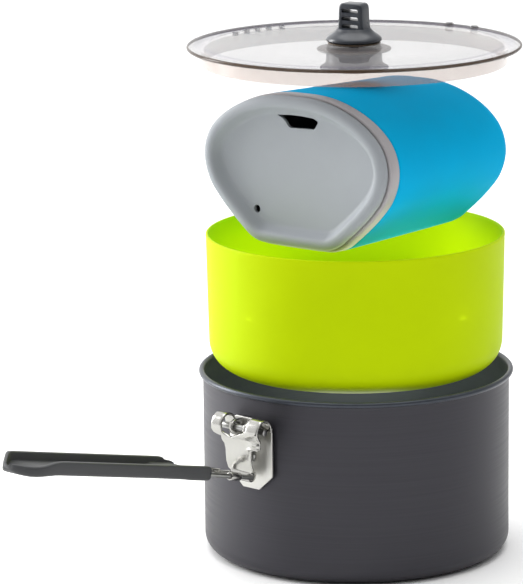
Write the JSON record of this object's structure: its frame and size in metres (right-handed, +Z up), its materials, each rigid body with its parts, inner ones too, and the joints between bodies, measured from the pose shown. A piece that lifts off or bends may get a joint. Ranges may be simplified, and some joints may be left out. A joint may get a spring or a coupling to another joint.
{
  "type": "camping cook pot set",
  "caption": "Nesting camping cook set laid out as a stack: straight-sided pot with folding handle, tapered bowl, lidded oval mug lying on its side, and clear lid with slotted knob.",
  "frame": {"origin": "centre of the pot's flat underside", "axes": "+Z up along the pot's axis, -X out along the handle"},
  "size_m": [0.3021, 0.1528, 0.2552],
  "materials": {
    "hard_anodised": "dark satin hard-anodised, fine horizontal brushing",
    "bright_stainless": "bright stamped",
    "pin_steel": "plain",
    "grip_rubber": "matt",
    "lime_plastic": "satin",
    "smoke_clear_plastic": "clear, faintly smoked",
    "tan_washer": "satin",
    "dark_retainer": "satin",
    "knob_nylon": "semi-gloss",
    "mug_cup_plastic": "satin, slightly translucent",
    "blue_sleeve": "matt foam sleeve",
    "mug_lid_soft": "soft matt"
  },
  "bodies": {
    "pot": {"pot_body": "hard_anodised", "bracket_plate": "bright_stainless", "rivet_upper": "bright_stainless", "rivet_lower": "bright_stainless", "rivet_head_upper": "pin_steel", "rivet_head_lower": "pin_steel", "lug_left": "bright_stainless", "lug_right": "bright_stainless", "hinge_pin": "pin_steel"},
    "handle": {"claw": "bright_stainless", "handle_wire": "pin_steel", "ferrule_left": "bright_stainless", "ferrule_right": "bright_stainless", "handle_grip": "grip_rubber"},
    "bowl": {"bowl": "lime_plastic"},
    "mug": {"mug_cup": "mug_cup_plastic", "mug_sleeve": "blue_sleeve"},
    "mug_lid": {"mug_lid": "mug_lid_soft"},
    "pot_lid": {"lid_disc": "smoke_clear_plastic", "knob_washer": "tan_washer", "lid_gasket": "smoke_clear_plastic", "knob_retainer": "dark_retainer", "knob_screw": "pin_steel", "lid_knob": "knob_nylon"}
  },
  "joints": [
    {"name": "handle_fold", "type": "hinge", "parent": "pot", "child": "handle", "pos_m": [-0.0785, 0, 0.0712], "axis": [0, 1, 0], "range_deg": [0, 88]},
    {"name": "bowl_nest", "type": "slide", "parent": "pot", "child": "bowl", "axis": [0, 0, 1], "range_m": [-0.083, 0]},
    {"name": "mug_lift", "type": "slide", "parent": "bowl", "child": "mug", "axis": [0, 0, 1], "range_m": [0, 0.04]},
    {"name": "mug_lid_pull", "type": "slide", "parent": "mug", "child": "mug_lid", "axis": [-0.9969, -0.0785, 0], "range_m": [0, 0.014]},
    {"name": "pot_lid_lift", "type": "slide", "parent": "mug", "child": "pot_lid", "axis": [0, 0, 1], "range_m": [-0.003, 0.05]}
  ]
}
